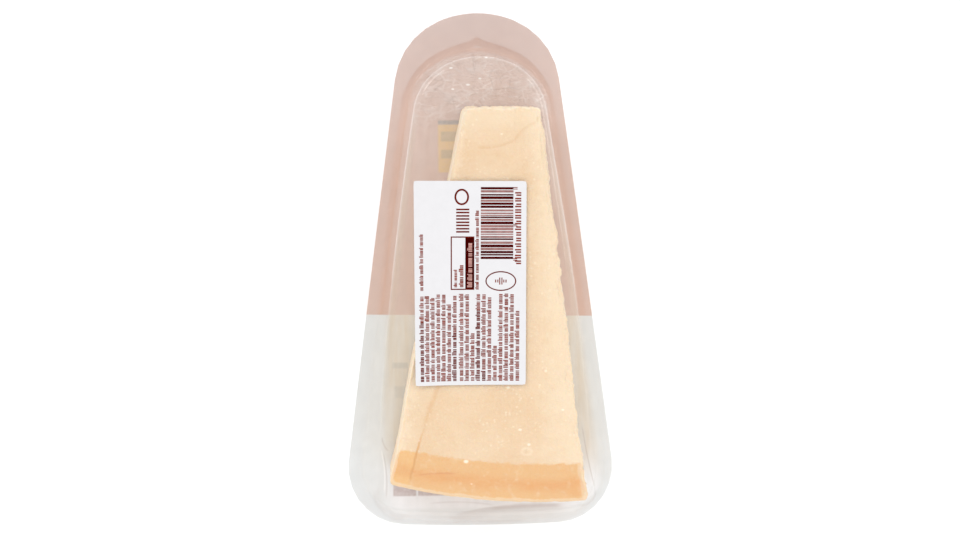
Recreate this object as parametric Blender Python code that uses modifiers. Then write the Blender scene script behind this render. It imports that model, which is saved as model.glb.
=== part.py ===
"""A wedge of hard grating cheese, sealed in a clear moulded tray.

The pack lies on its printed lid film, with the floor of the tray and its back label up.
Metres, +Z up, +Y towards the narrow end of the pack.  The origin is on the floor, under the
middle of the pack.  Each separate piece is one object: lid_film, tray, cheese, back_label.
"""

import math

import bmesh
import bpy
from mathutils import Matrix, Vector, noise

MM = 0.001

# Heights, from the floor up.  Pieces that touch keep TOUCH_GAP between them.
TOUCH_GAP = 0.3 * MM
FILM_THICKNESS = 0.3 * MM
TRAY_THICKNESS = 0.5 * MM
LABEL_THICKNESS = 0.25 * MM
TRAY_HEIGHT = 40.5 * MM

FLANGE_BOTTOM = FILM_THICKNESS + TOUCH_GAP
TRAY_TOP = FLANGE_BOTTOM + TRAY_HEIGHT
FLANGE_TOP = FLANGE_BOTTOM + TRAY_THICKNESS

# Outlines: a round nose, two shoulders, two sides that spread apart, two corners and an end.
# Each side is "half" wide at y = 0 and grows by "spread" for each metre towards the end.
FLANGE_OUTLINE = dict(nose_y=91.2 * MM, nose_r=34.3 * MM, shoulder_r=26.1 * MM,
                      half=38.1 * MM, spread=0.132, side_r=30.0,
                      corner_r=20.4 * MM, end_r=635 * MM, end_y=-91.2 * MM)
MOUTH_OUTLINE = dict(nose_y=78.3 * MM, nose_r=29.0 * MM, shoulder_r=22.5 * MM,
                     half=32.7 * MM, spread=0.131, side_r=6.0,
                     corner_r=15.0 * MM, end_r=600 * MM, end_y=-85.9 * MM)
RIM_OUTLINE = dict(nose_y=76.1 * MM, nose_r=27.0 * MM, shoulder_r=20.6 * MM,
                   half=31.0 * MM, spread=0.115, side_r=1.3,
                   corner_r=9.0 * MM, end_r=400 * MM, end_y=-84.2 * MM)
ARC_STEPS = dict(nose=7, shoulder=5, side=8, corner=7, end=6)

# The rim, where the walls of the tray turn into its floor, is tighter at the narrow end.
RIM_RADIUS_NARROW = 2.2 * MM
RIM_RADIUS_WIDE = 4.0 * MM
RIM_STEPS = 4
WALL_STEPS = 3
MOUTH_RADIUS = 0.9 * MM

# The cheese is a sector of a flat round wheel, cut off before its point.  RIND_SKEW is how
# much longer its broken side is than the middle.
WEDGE_HALF_ANGLE = math.radians(9.13)
WEDGE_TURN = math.radians(-2.8)
TIP_CENTRE = Vector((7.9 * MM, 59.0 * MM))
TIP_RADIUS = 84.1 * MM
WHEEL_RADIUS = 218.3 * MM
RIND_SKEW = 1.5 * MM
CHEESE_BOTTOM = FLANGE_BOTTOM
CHEESE_TOP = TRAY_TOP - TRAY_THICKNESS - TOUCH_GAP
EDGE_RADIUS = 2.4 * MM
RIND_EDGE_RADIUS = 3.6 * MM
CORNER_ROUNDING = 0.06
CHEESE_CELLS = (40, 20, 12)
EDGE_LEVELS = 3

# Relief of the cheese: the broken side and tip are crumbly, the knife cuts nearly smooth.
# A shallow facet runs along the smooth side, from a crease that nears it at the rind.
BROKEN_RELIEF = 1.3 * MM
TIP_RELIEF = 0.9 * MM
CUT_RELIEF = 0.35 * MM
FACE_RELIEF = 0.25 * MM
CRAG_SIZE = 9.0 * MM
CRUMB_SIZE = 4.5 * MM
CREASE_DROP = 0.9 * MM
CREASE_MIDDLE = -0.485
CREASE_SLANT = -0.32
SKIN_FROM = 0.92
RIND_SHARE = 0.2
RELIEF_SEED = Vector((3.7, 11.3, 5.1))

# The label on the floor of the tray.
LABEL_WIDTH = 38.7 * MM
LABEL_LENGTH = 70.0 * MM
LABEL_CENTRE = Vector((-4.3 * MM, -1.4 * MM))
LABEL_TURN = math.radians(-0.72)
LABEL_CORNER = 0.8 * MM
LABEL_CORNER_STEPS = 3


def clear_scene():
    for old in list(bpy.data.objects):
        bpy.data.objects.remove(old, do_unlink=True)


def material(name, colour, roughness, alpha=1.0):
    mat = bpy.data.materials.new(name)
    mat.use_nodes = True
    shader = mat.node_tree.nodes["Principled BSDF"]
    shader.inputs["Base Color"].default_value = (*colour, 1.0)
    shader.inputs["Roughness"].default_value = roughness
    shader.inputs["Metallic"].default_value = 0.0
    shader.inputs["Alpha"].default_value = alpha
    mat.diffuse_color = (*colour, alpha)
    return mat


def add_object(name, data, collection, mat):
    obj = bpy.data.objects.new(name, data)
    data.materials.append(mat)
    collection.objects.link(obj)
    return obj


def touching_centre(centre_a, reach_a, centre_b, reach_b, upper):
    """The point at reach_a from one centre and reach_b from the other, on the +X side."""
    across = centre_b - centre_a
    distance = across.length
    along = (reach_a ** 2 - reach_b ** 2 + distance ** 2) / (2 * distance)
    off = math.sqrt(max(reach_a ** 2 - along ** 2, 0.0))
    unit = across / distance
    normal = Vector((-unit.y, unit.x))
    found = [centre_a + along * unit + side * off * normal for side in (1, -1)]
    right = [point for point in found if point.x >= 0.0] or found
    return max(right, key=lambda p: p.y) if upper else min(right, key=lambda p: p.y)


def outline_arcs(nose_y, nose_r, shoulder_r, half, spread, side_r, corner_r, end_r, end_y):
    """The right half of an outline, as arcs that meet smoothly: (centre, radius, from, to)."""
    outward = Vector((1.0, spread)).normalized()
    nose = Vector((0.0, nose_y - nose_r))
    side = Vector((half, 0.0)) - side_r * outward
    end = Vector((0.0, end_y + end_r))
    shoulder = touching_centre(nose, nose_r - shoulder_r, side, side_r - shoulder_r, True)
    corner = touching_centre(end, end_r - corner_r, side, side_r - corner_r, False)

    def heading(start, to):
        return math.atan2(to.y - start.y, to.x - start.x)

    turns = [math.pi / 2, heading(nose, shoulder), heading(side, shoulder),
             heading(side, corner), heading(end, corner), -math.pi / 2]
    circles = [(nose, nose_r), (shoulder, shoulder_r), (side, side_r),
               (corner, corner_r), (end, end_r)]
    return [(*circle, turns[i], turns[i + 1]) for i, circle in enumerate(circles)]


def ring(outline):
    """A closed outline, clockwise from its nose: pairs of a point and its outward normal."""
    half = []
    for (centre, radius, start, stop), steps in zip(outline_arcs(**outline), ARC_STEPS.values()):
        for i in range(steps):
            angle = start + (stop - start) * i / steps
            normal = Vector((math.cos(angle), math.sin(angle)))
            half.append((centre + radius * normal, normal))
    half.append((Vector((0.0, outline["end_y"])), Vector((0.0, -1.0))))
    mirrored = [(Vector((-p.x, p.y)), Vector((-n.x, n.y))) for p, n in half[-2:0:-1]]
    return half + mirrored


def rim_radius(y):
    """The radius between wall and floor, at a distance along the pack."""
    span = RIM_OUTLINE["nose_y"] - RIM_OUTLINE["end_y"]
    towards_wide = (RIM_OUTLINE["nose_y"] - y) / span
    return RIM_RADIUS_NARROW + (RIM_RADIUS_WIDE - RIM_RADIUS_NARROW) * towards_wide


def tray_rings():
    """Rings of points on the outer skin of the tray, from the flange's edge to its floor."""
    flange, mouth, rim = ring(FLANGE_OUTLINE), ring(MOUTH_OUTLINE), ring(RIM_OUTLINE)
    rings = [[(*p, FLANGE_TOP) for p, _ in flange],
             [(*(p + MOUTH_RADIUS * n), FLANGE_TOP) for p, n in mouth]]
    wall_foot = FLANGE_TOP + MOUTH_RADIUS
    for step in range(WALL_STEPS + 1):
        t = step / WALL_STEPS
        rings.append([(*(p.lerp(q, t)), wall_foot + t * (TRAY_TOP - rim_radius(q.y) - wall_foot))
                      for (p, _), (q, _) in zip(mouth, rim)])
    for step in range(1, RIM_STEPS + 1):
        angle = math.pi / 2 * step / RIM_STEPS
        rings.append([(*(q - rim_radius(q.y) * (1 - math.cos(angle)) * n),
                       TRAY_TOP - rim_radius(q.y) * (1 - math.sin(angle))) for q, n in rim])
    return rings


def add_tray(collection):
    bm = bmesh.new()
    rings = [[bm.verts.new(point) for point in points] for points in tray_rings()]
    for lower, upper in zip(rings, rings[1:]):
        for i, start in enumerate(lower):
            j = (i + 1) % len(lower)
            bm.faces.new((start, upper[i], upper[j], lower[j]))
    bm.faces.new(rings[-1])
    bmesh.ops.recalc_face_normals(bm, faces=bm.faces)
    if bm.faces[-1].normal.z < 0:
        bmesh.ops.reverse_faces(bm, faces=bm.faces)
    for face in bm.faces:
        face.smooth = len(face.verts) == 4
    mesh = bpy.data.meshes.new("tray")
    bm.to_mesh(mesh)
    bm.free()
    tray = add_object("tray", mesh, collection,
                      material("clear_plastic", (0.93, 0.92, 0.90), 0.08, alpha=0.3))
    shell = tray.modifiers.new("wall", 'SOLIDIFY')
    shell.thickness = TRAY_THICKNESS
    shell.offset = -1.0
    shell.use_even_offset = True


def flat_plate(name, points, bottom, thickness):
    """A curve that fills an outline, as a plate of a given thickness."""
    curve = bpy.data.curves.new(name, 'CURVE')
    curve.dimensions = '2D'
    curve.fill_mode = 'BOTH'
    curve.extrude = thickness / 2
    spline = curve.splines.new('POLY')
    spline.points.add(len(points) - 1)
    for place, point in zip(spline.points, points):
        place.co = (point.x, point.y, 0.0, 1.0)
    spline.use_cyclic_u = True
    return curve, bottom + thickness / 2


def add_lid_film(collection):
    points = [p for p, _ in ring(FLANGE_OUTLINE)]
    curve, height = flat_plate("lid_film", points, 0.0, FILM_THICKNESS)
    film = add_object("lid_film", curve, collection,
                      material("printed_film", (0.76, 0.64, 0.58), 0.35))
    film.location.z = height


def add_back_label(collection):
    points = []
    reach = Vector((LABEL_WIDTH / 2 - LABEL_CORNER, LABEL_LENGTH / 2 - LABEL_CORNER))
    for quarter, (sx, sy) in enumerate(((1, 1), (-1, 1), (-1, -1), (1, -1))):
        centre = Vector((sx * reach.x, sy * reach.y))
        for step in range(LABEL_CORNER_STEPS + 1):
            angle = math.pi / 2 * (quarter + step / LABEL_CORNER_STEPS)
            points.append(centre + LABEL_CORNER * Vector((math.cos(angle), math.sin(angle))))
    curve, height = flat_plate("back_label", points, TRAY_TOP + TOUCH_GAP, LABEL_THICKNESS)
    label = add_object("back_label", curve, collection,
                       material("label_paper", (0.88, 0.87, 0.88), 0.45))
    label.location = (*LABEL_CENTRE, height)
    label.rotation_euler.z = LABEL_TURN


def edge_profile(level, radius):
    """How far the side of the cheese draws in, and its height, for level 0 (bottom) to 1."""
    share = EDGE_LEVELS / CHEESE_CELLS[2]
    height = CHEESE_TOP - CHEESE_BOTTOM
    from_end = min(level, 1 - level)
    if from_end < share:
        angle = math.pi / 2 * from_end / share
        inset = radius * (1 - math.sin(angle))
        rise = radius * (1 - math.cos(angle))
    else:
        inset = 0.0
        rise = radius + (height / 2 - radius) * (from_end - share) / (0.5 - share)
    return inset, CHEESE_BOTTOM + (rise if level < 0.5 else height - rise)


def rounded_square(u, v):
    """Round the corners of the square from -1 to 1."""
    core = Vector((max(-1 + CORNER_ROUNDING, min(1 - CORNER_ROUNDING, u)),
                   max(-1 + CORNER_ROUNDING, min(1 - CORNER_ROUNDING, v))))
    out = Vector((u, v)) - core
    if out.x == 0.0 or out.y == 0.0:
        return u, v
    reach = max(abs(out.x), abs(out.y))
    return tuple(core + out.normalized() * reach)


def wedge_point(u, v, inset_end, inset_side):
    """A place on the plan of the wedge: u is -1 at the tip and 1 at the rind, v is -1 at -X."""
    t = (u + 1) / 2
    first = TIP_RADIUS + inset_end
    last = WHEEL_RADIUS + RIND_SKEW * v - inset_end
    radius = first + (last - first) * t
    angle = WEDGE_HALF_ANGLE * v * (1 - inset_side / (radius * WEDGE_HALF_ANGLE))
    flat_tip = radius * (math.cos(WEDGE_HALF_ANGLE) - math.cos(angle)) * (1 - t)
    down = radius * math.cos(angle) + flat_tip
    place = Vector((radius * math.sin(angle), -down))
    place.y += TIP_RADIUS * math.cos(WEDGE_HALF_ANGLE)
    return Matrix.Rotation(WEDGE_TURN, 2) @ place + TIP_CENTRE


def crags(place):
    """How deep the broken relief goes, from 0 to 1: flakes with smaller crumbs on them."""
    flakes = noise.cell(place / CRAG_SIZE + RELIEF_SEED)
    waves = noise.noise(place / CRAG_SIZE + RELIEF_SEED)
    crumbs = noise.noise(place / CRUMB_SIZE - RELIEF_SEED)
    return min(1.0, max(0.0, 0.4 + 0.15 * flakes + 0.6 * waves + 0.35 * crumbs))


def crease_drop(u, v):
    """How far the top face falls away beyond the crease."""
    crease = CREASE_MIDDLE + CREASE_SLANT * u
    past = max(0.0, (crease - v) / (1 + crease))
    return CREASE_DROP * past * min(1.0, max(0.0, 0.7 + u))


def cheese_point(u, v, w):
    """Move a point of a block (u and v from -1 to 1, w from 0 to 1) to the cheese."""
    u, v = rounded_square(u, v)
    end_edge = RIND_EDGE_RADIUS if u > 0 else EDGE_RADIUS
    inset_end, _ = edge_profile(w, end_edge)
    inset_side, height = edge_profile(w, EDGE_RADIUS)
    plan = wedge_point(u, v, inset_end, inset_side)
    place = Vector((*plan, height))

    depth = crags(place)
    side_skin = max(0.0, abs(v) - SKIN_FROM) / (1 - SKIN_FROM)
    tip_skin = max(0.0, -u - SKIN_FROM) / (1 - SKIN_FROM)
    side_relief = BROKEN_RELIEF if v > 0 else CUT_RELIEF
    at_rind = min(1.0, (1 - u) / RIND_SHARE)
    place.x -= math.copysign(side_skin, v) * side_relief * depth * at_rind
    place.y -= tip_skin * TIP_RELIEF * depth

    top = max(0.0, (w - SKIN_FROM) / (1 - SKIN_FROM))
    place.z -= top * (crease_drop(u, v) + FACE_RELIEF * depth)
    return place


def add_cheese(collection):
    along, across, up = CHEESE_CELLS
    bm = bmesh.new()
    bmesh.ops.create_cube(bm, size=2.0)
    for axis, cells in enumerate((across, along, up)):
        edges = [e for e in bm.edges
                 if abs(e.verts[0].co[axis] - e.verts[1].co[axis]) > 1.9]
        bmesh.ops.subdivide_edges(bm, edges=edges, cuts=cells - 1, use_grid_fill=True)
    for vert in bm.verts:
        x, y, z = vert.co
        vert.co = cheese_point(-y, x, (z + 1) / 2)
    for face in bm.faces:
        face.smooth = True
    bmesh.ops.recalc_face_normals(bm, faces=bm.faces)
    mesh = bpy.data.meshes.new("cheese")
    bm.to_mesh(mesh)
    bm.free()
    add_object("cheese", mesh, collection, material("cheese", (0.90, 0.66, 0.40), 0.5))


def main():
    clear_scene()
    collection = bpy.data.collections.new("cheese_pack")
    bpy.context.scene.collection.children.link(collection)
    add_lid_film(collection)
    add_tray(collection)
    add_cheese(collection)
    add_back_label(collection)


main()
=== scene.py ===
"""The looks of a wedge of hard grating cheese, sealed in a clear moulded tray.

The pack lies on its printed lid film, with the floor of the tray and its back label up.
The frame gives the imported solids.  The tray, the cheese and the label are replaced by finer
pieces of the same form, and the lid film keeps its solid and gets a printed finish.
"""

import math
import random

import bmesh
import bpy
from mathutils import Matrix, Vector, noise


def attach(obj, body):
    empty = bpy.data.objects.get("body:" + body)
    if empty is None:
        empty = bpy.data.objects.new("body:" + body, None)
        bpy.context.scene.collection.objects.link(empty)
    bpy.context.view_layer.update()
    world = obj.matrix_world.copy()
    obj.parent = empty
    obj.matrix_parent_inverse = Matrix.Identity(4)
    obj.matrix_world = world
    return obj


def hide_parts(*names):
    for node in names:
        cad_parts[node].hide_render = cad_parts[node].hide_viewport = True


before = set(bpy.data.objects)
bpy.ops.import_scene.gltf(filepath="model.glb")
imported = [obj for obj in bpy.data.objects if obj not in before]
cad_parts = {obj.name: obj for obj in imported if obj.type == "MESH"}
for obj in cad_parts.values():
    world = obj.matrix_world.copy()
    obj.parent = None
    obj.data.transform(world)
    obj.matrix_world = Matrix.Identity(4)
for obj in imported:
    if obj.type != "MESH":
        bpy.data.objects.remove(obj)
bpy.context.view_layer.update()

MM = 0.001

# The camera of the photo: its place and aim in the pack's frame, and its focal length.
PHOTO_WIDTH = 960
FOCAL_PIXELS = 3094.0
SENSOR = 36.0
CAMERA_PLACE = Vector((-31.9, 77.0, 1097.9)) * MM
CAMERA_AIM = Vector((0.0294, -0.0698, -0.9971))
CAMERA_UP = Vector((0.011, 0.9975, -0.0695))

# Heights of the tray, as in the solids.
FLANGE_BOTTOM = 0.6 * MM
FLANGE_TOP = 1.1 * MM
TRAY_TOP = 41.1 * MM

# Outlines: a round nose, two shoulders, two sides that spread apart, two corners and an end.
FLANGE_OUTLINE = dict(nose_y=91.2 * MM, nose_r=34.3 * MM, shoulder_r=26.1 * MM,
                      half=38.1 * MM, spread=0.132, side_r=30.0,
                      corner_r=20.4 * MM, end_r=635 * MM, end_y=-91.2 * MM)
MOUTH_OUTLINE = dict(nose_y=78.3 * MM, nose_r=29.0 * MM, shoulder_r=22.5 * MM,
                     half=32.7 * MM, spread=0.131, side_r=6.0,
                     corner_r=15.0 * MM, end_r=600 * MM, end_y=-85.9 * MM)
RIM_OUTLINE = dict(nose_y=76.1 * MM, nose_r=27.0 * MM, shoulder_r=20.6 * MM,
                   half=31.0 * MM, spread=0.115, side_r=1.3,
                   corner_r=9.0 * MM, end_r=400 * MM, end_y=-84.2 * MM)
ARC_STEPS = dict(nose=24, shoulder=14, side=36, corner=20, end=20)

# The painted shade and haze on the film under the cup: its shift, its left edge and its soft
# edges.
CUP_SHIFT = 1.2 * MM
SHADED_FROM = (-35.6 * MM, -31.0 * MM)
CUP_SIDE_SOFT = (1.2 * MM, -3.6 * MM)
CUP_NOSE_SOFT = (0.5 * MM, 1.6 * MM)
CUP_NOSE_REACH = 4 * MM
CUP_CORNER_SOFT = 1.5 * MM

# The bends of the tray, and how finely it is divided.
RIM_RADIUS_NARROW = 2.2 * MM
RIM_RADIUS_WIDE = 4.0 * MM
MOUTH_RADIUS = 0.9 * MM
# The right side of the rim stands out from its outline at the wide end and in at the nose.
RIM_LEAN = (0.8 * MM, -0.4 * MM)
LEAN_ALONG = (-20 * MM, 55 * MM)
LEAN_REACH = 18 * MM
FLANGE_ROWS = 36
MOUTH_STEPS = 4
WALL_STEPS = 14
RIM_STEPS = 10

# The band where the film is welded to the flange, from the mouth of the tray outwards.  It
# runs up to a point at the nose.  The first three go from the sides of the pack to its nose.
WELD_INNER = (0.2 * MM, -0.6 * MM)
WELD_FADE = (1.6 * MM, 0.45 * MM)
WELD_SOFT = (1.2 * MM, 0.35 * MM)
WELD_OUTER_NOSE = 2.3 * MM
WELD_OUTER_LEFT = 1.3 * MM
WELD_OUTER_RIGHT = 3.2 * MM
WELD_NARROWS = (50 * MM, 74 * MM)
WELD_WIDENS = (-15 * MM, 45 * MM)
WELD_TINT = 0.065
WELD_LINE = 0.1
WELD_LINE_ON_LEFT = 0.4
WELD_PEAK = 2.3 * MM
WELD_PEAK_REACH = 3.0 * MM

# How cloudy the sheet is: all over, and what its parts have on top of that.  The wall is
# clear at its foot, and cloudier over a stretch near the nose.
SHEET_HAZE = 0.01
HAZE_ROUGHNESS = 0.3
FLANGE_HAZE = 0.125
FLOOR_HAZE = 0.04
WALL_HAZE = 0.05
WALL_HAZE_AT_NOSE = 0.15
WALL_HAZE_GROWS = (-8 * MM, 22 * MM)
WALL_HAZE_ENDS = (48 * MM, 72 * MM)
WALL_HAZE_FROM = (FLANGE_TOP, FLANGE_TOP + 4 * MM)
# Painted shade: how strongly the bend round the floor is tinted olive grey.
BEND_SHADE = 0.3
# The bend's tint of painted shade fades out towards the nose and towards the wide end.
BEND_AT_NOSE = (40 * MM, 62 * MM)
BEND_AT_END = (-56 * MM, -36 * MM)
BEND_LEAST = 0.12

# How strongly the sheet mirrors: straight on, and at a glancing view on its wall and its rim.
# The fillet at the mouth has none.
PLAIN_GLOSS = 0.03
WALL_GLOSS = 0.18
GLOSS_FROM = (FLANGE_TOP + 0.8 * MM, FLANGE_TOP + 3 * MM)
RIM_GLOSS = 0.54
RIM_GLOSS_POWER = 2.6
RIM_GLOSS_FROM = (TRAY_TOP - 7 * MM, TRAY_TOP - 3 * MM)
FILLET_HEIGHT = FLANGE_TOP + 0.5 * MM
FILLET_SOFT = (0.3 * MM, 0.6 * MM)
GLOSS_ROUGHNESS = 0.06
# Towards the wide end, where the sheet is drawn less sharply, the gloss fades to this share.
GLOSS_FADES = (-30 * MM, 15 * MM)
GLOSS_AT_END = 0.06
DRAWN_RELIEF = 0.15 * MM

# The cheese is a sector of a flat round wheel, cut off before its point.
WEDGE_HALF_ANGLE = math.radians(9.13)
WEDGE_TURN = math.radians(-2.8)
TIP_CENTRE = Vector((7.9 * MM, 59.0 * MM))
TIP_RADIUS = 84.1 * MM
WHEEL_RADIUS = 218.9 * MM
RIND_SKEW = 1.5 * MM
TIP_SKEW = 0.6 * MM
CHEESE_BOTTOM = FLANGE_BOTTOM
CHEESE_TOP = 40.3 * MM
EDGE_RADIUS = 1.3 * MM
RIND_EDGE_RADIUS = 1.6 * MM
CORNER_ALONG = 0.04
CORNER_TIP = 0.18
CORNER_RIND = 0.04
CHEESE_CELLS = (230, 100, 44)
EDGE_LEVELS = 9
BROKEN_RELIEF = 1.3 * MM
TIP_RELIEF = 0.9 * MM
CUT_RELIEF = 0.35 * MM
# The cut side is a little hollow: how deep, where its middle is and how far it reaches.
CUT_HOLLOW = 0.7 * MM
CUT_HOLLOW_AT = -57 * MM
CUT_HOLLOW_REACH = 13 * MM
FACE_RELIEF = 0.25 * MM
RIND_RELIEF = 0.3 * MM
CRAG_SIZE = 9.0 * MM
CRUMB_SIZE = 4.5 * MM
CREASE_DROP = 0.9 * MM
CREASE_MIDDLE = -0.51
CREASE_SLANT = -0.32
CREASE_BOW = 0.04
CREASE_BOW_AT = 0.66
CREASE_BOW_REACH = 0.3
SKIN_FROM = 0.92
RIND_SHARE = 0.2
RELIEF_SEED = Vector((3.7, 11.3, 5.1))
FINE_CRUMB = 1.3 * MM
# The ragged edge: size and seed of its lumps, crumbs and finest crumbs.
RAGGED_NOISE = [(6.5 * MM, RELIEF_SEED), (2.4 * MM, -RELIEF_SEED), (1.1 * MM, RELIEF_SEED)]
RAGGED_IN = 0.2
RAGGED_TIP = 0.8
CRUMBLED_FROM = 0.86
CRUMBLED_DROP = 1.1 * MM

# The looks of the cheese.  Places on it are shares of the wedge: u from -1 at the tip to 1 at
# the rind, v from -1 on the cut side to 1 on the broken one, and w from 0 to 1 upwards.
ON_TOP = (CHEESE_TOP - 1.8 * MM, CHEESE_TOP - 0.9 * MM)
RIND_FROM = (0.816, 0.832)
NEAR_RIND = (0.05, 0.4)
BEYOND_CREASE = (0.01, -0.02)
BROKEN_PALES = (0.45, 0.98)
CUT_PALES = (-0.86, -1.04)
TIP_PALES = (47 * MM, 56 * MM)
STREAK_AT = 0.935
STREAK_REACH = 0.06
# How far noise shifts the paler edges, the crease and the start of the rind.
EDGE_SHIFT = 0.09
CREASE_SHIFT = 0.008
RIND_SHIFT = 0.009
GRAIN_RELIEF = 0.08 * MM

# Crystals in the paste: for each kind the size of a cell, the share of cells that have one,
# the largest radius and how strongly it shows.  Then the plainest ones: place and radius in mm.
CRYSTAL_SIZES = [(1.3 * MM, 0.8, 0.42 * MM, 0.2), (5.5 * MM, 0.4, 0.5 * MM, 0.4)]
CRYSTAL_SHOWS = 0.85
BUBBLE = (14.8, -59.9)
BUBBLE_RADII = (1.9, 1.3)
CRYSTALS = [(-6.1, -63.1, 0.8), (8.6, -37.7, 0.6), (27.4, -45.6, 0.5), (12.6, -52.3, 0.6),
            (15.6, -57.5, 0.6), (7.1, 49.5, 0.45), (15.0, 10.0, 0.4), (-4.3, -70.9, 0.4)]

# Where the tray's floor presses near the tip: three points of two arcs on the plan, and a
# darker patch below them, by its middle, radius, flatness and strength.  The same for a patch
# at the right end of the rind, and for a crisp line along the rind.
RIND_PATCH = (31.0, -72.5, 4.5, 1.0, 0.45)
RIND_LINE = ((-23.3, -67.6), (-16.6, -67.0), (-8.9, -67.2))
RIND_LINE_WIDTH = (0.35 * MM, 0.7 * MM)
PRESS_WIDTH = (0.5 * MM, 1.3 * MM)
PRESS_LINES = [((19.8, 53.9), (14.8, 51.4), (11.0, 46.6)),
               ((12.2, 47.6), (7.5, 45.6), (-2.0, 45.0))]
PRESS_PATCH = (6.4, 40.2, 4.6, 0.75, 0.6)

# The back label.
LABEL_WIDTH = 38.7 * MM
LABEL_LENGTH = 70.0 * MM
LABEL_CENTRE = Vector((-4.3 * MM, -1.4 * MM))
LABEL_TURN = math.radians(-0.72)
LABEL_CORNER = 0.6 * MM
LABEL_CELLS = (30, 50)
PAPER_BOTTOM = 41.13 * MM
PAPER = 0.13 * MM
INK_LIFT = 0.03 * MM
CURL_RISE = 0.45 * MM
CURL_SHIFT = (0.9 * MM, -0.54 * MM)

# Its print, in mm from the left and the top edge of the label.  All of it is plain bars,
# dashes, a frame and rings.  Lines of dashes run up the label, and their feet are to the right.
LINE_FIRST = 2.35
LINE_PITCH = 1.93
LINES_BEFORE_SKIP = 7
LINE_SKIP = 0.45
LINE_FOOT = 68.6
LINE_TOP = 38.8
DASH_HEIGHT = 1.6
DASH_GROUP = (0.9, 4.0)
GROUP_GAP = 0.4
STROKE = 0.29
STROKE_SPREAD = 0.1
STROKE_GAP = (0.07, 0.2)
BOLDER = 0.1
# Widths of the bars and of the gaps between them, in modules.
BAR_MODULE = 0.264
DARK_BARS = (2, 2.5, 3, 3.5)
DUSKY_BARS = (1.5, 2, 2.5, 3)
BAR_GAPS = (0.7, 1, 1, 1.5, 2)
# The shares of the full length that the shorter lines fill, and that is bold in others.
LINE_COUNT = 18
SHORT_LINES = {5: 0.9, 9: 0.54, 13: 0.4, 17: 0.8}
BOLD_LINES = {0: 0.68, 6: 0.56, 10: 0.8, 11: 0.13}
# Single lines: foot, start and end, then height and width of the strokes.
SMALL_LINES = [(3.1, 37.5, 17.0, 1.4, STROKE), (22.4, 37.2, 10.1, 1.25, STROKE + 0.04)]
# The bars, how far the longer ones reach beyond the others, and pairs of strokes beside
# them: count, first place, pitch, foot, heights, the shift of each one and width.
BARS_ALONG = (2.1, 27.3)
BARS_ACROSS = (23.05, 34.2)
BAR_REACH = 1.4
PAIRS = (13, 3.8, 1.95, 36.9, (1.7, 2.1), (0.0, 0.8), 0.5)
# A ring and an oval: middle, half sizes and line.  Strokes in the oval: place, half length.
RING = (16.5, 5.5, 2.5, 2.8, 0.64)
OVAL = (30.0, 34.3, 5.3, 3.4, 0.4)
OVAL_STROKES = ((28.6, 0.5), (30.0, 1.2), (31.4, 0.5))
OVAL_STROKE = (0.2, 0.55)
# Pairs of tall strokes: head, foot, count, first place, pitch, and the ends of both.
TALL_STROKES = (14.6, 19.1, 4, 9.5, 2.2, ((0.0, 0.54), (1.05, 1.59)))
# The frame: left, right, top, bottom and line.  Then where its solid band starts, and lines of
# strokes, given as the single ones above: a pale one on the band, and two beside it.
PRINT_FRAME = (12.7, 20.85, 19.0, 37.3, 0.4)
BAND_FROM = 17.75
BAND_LINE = (20.1, 36.4, 21.0, 1.7, 0.27)
FRAME_LINES = [(17.1, 36.4, 28.6, 1.6, STROKE + BOLDER), (14.9, 36.4, 30.0, 1.2, STROKE)]
PRINT_SEED = 7

# The lights: name, place and size in metres, and power in watts.
SOFTBOXES = [("softbox_right", (0.75, 0.35, 0.75), (0.6, 0.6), 2.6),
             ("softbox_left", (-0.56, 0.6, 0.8), (0.5, 0.5), 2.4),
             ("softbox_front", (0.1, -0.9, 0.9), (1.2, 0.7), 3.4)]
FLOOR_SIZE = 6.0


def srgb(red, green, blue):
    """A colour as a screen shows it, from 0 to 255, as the linear light that Blender uses."""
    shares = (red / 255, green / 255, blue / 255)
    return (*[s / 12.92 if s <= 0.04045 else ((s + 0.055) / 1.055) ** 2.4 for s in shares], 1.0)


PINK = srgb(204, 172, 157)
PINK_AT_NOSE = srgb(191, 164, 153)
# Painted shade and haze: the pink under the cup and at its nose, and the off-white under the cup
# and at its wide end.
CUP_LIT_PINK = srgb(204, 179, 166)
NOSE_LIT_PINK = srgb(210, 187, 177)
OFF_WHITE = srgb(216, 218, 218)
CUP_LIT_OFF_WHITE = srgb(211, 200, 183)
END_LIT_OFF_WHITE = srgb(229, 230, 232)
OCHRE = srgb(222, 191, 137)
SLATE = srgb(146, 150, 148)
DUSKY = srgb(172, 152, 148)
# The colours of the film's folds and wrinkles are painted shade and painted highlight.
FOLD_SHADE = srgb(150, 128, 116)
WELD_BROWN = srgb(170, 128, 112)
FOLD_HIGHLIGHT = srgb(246, 246, 244)
HAZE = srgb(240, 244, 248)
# Painted shade on the bend of the tray.
OLIVE_GREY = srgb(187, 172, 150)
PASTE = srgb(218, 187, 149)
PASTE_DEEP = srgb(209, 169, 120)
PASTE_PALE = srgb(231, 213, 184)
RIND = srgb(216, 168, 107)
RIND_DEEP = srgb(213, 150, 79)
RIND_MARK = srgb(202, 128, 64)
RIND_SIDE = srgb(221, 172, 105)
RIND_OUTSIDE = srgb(205, 156, 104)
RIND_EDGE = srgb(223, 197, 160)
# Painted shade along the crease of the top face.
CREASE_SHADE = srgb(204, 146, 74)
# Painted light on the cut side and the tip face of the cheese.
PASTE_LIT = srgb(242, 224, 194)
CRYSTAL = srgb(252, 244, 226)
PAPER_WHITE = srgb(210, 209, 211)
INKS = {"fine_print": srgb(122, 44, 24), "middle_print": srgb(98, 26, 14),
        "dusky_print": srgb(146, 108, 104), "dark_bars": srgb(68, 8, 5),
        "solid_print": srgb(56, 4, 2), "pale_marks": srgb(196, 150, 142)}
# The floor's colour is given as linear light.
FLOOR_WHITE = (0.97, 0.97, 0.98, 1.0)
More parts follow.
